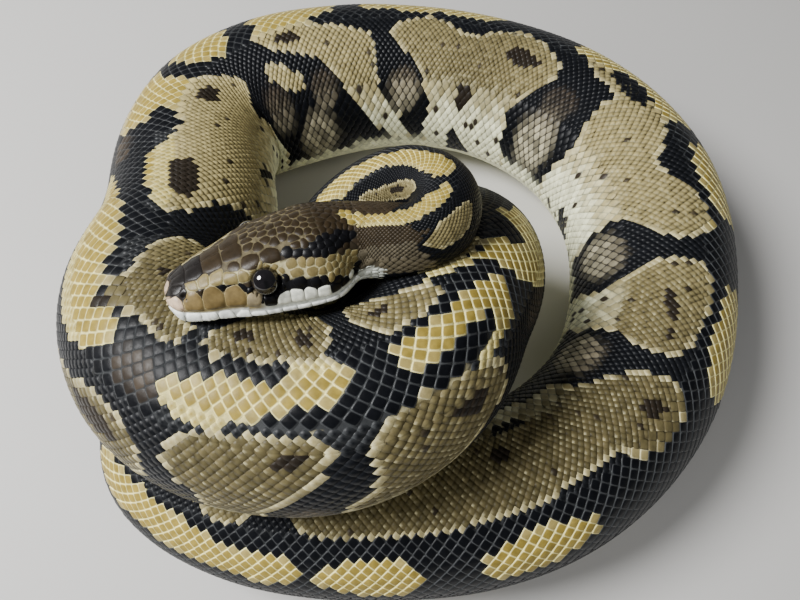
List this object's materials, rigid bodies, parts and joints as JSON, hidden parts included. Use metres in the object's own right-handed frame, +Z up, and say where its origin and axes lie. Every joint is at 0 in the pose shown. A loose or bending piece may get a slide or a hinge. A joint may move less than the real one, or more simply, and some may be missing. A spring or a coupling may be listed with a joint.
{
  "type": "coiled ball python",
  "caption": "Ball python at life size lying coiled in a ring, its neck looped over the coil and its head resting on it.",
  "frame": {"origin": "on the floor, under the middle of the coil's outline seen from above", "axes": "+Z up from the floor; the head lies towards -X and the coil is level on the floor"},
  "size_m": [0.227, 0.2312, 0.1009],
  "materials": {
    "body_skin": "satin",
    "head_skin": "satin",
    "lip_skin": "satin",
    "eye": "wet gloss"
  },
  "bodies": {
    "root": {"head": "head_skin", "lower_jaw": "lip_skin", "eye_left": "eye", "eye_right": "eye", "neck_1": "body_skin", "neck_2": "body_skin", "neck_3": "body_skin", "trunk_1": "body_skin", "trunk_2": "body_skin", "trunk_3": "body_skin", "trunk_4": "body_skin", "trunk_5": "body_skin", "trunk_6": "body_skin", "trunk_7": "body_skin", "trunk_8": "body_skin", "trunk_9": "body_skin", "trunk_10": "body_skin", "tail_1": "body_skin", "tail_2": "body_skin"}
  },
  "joints": []
}
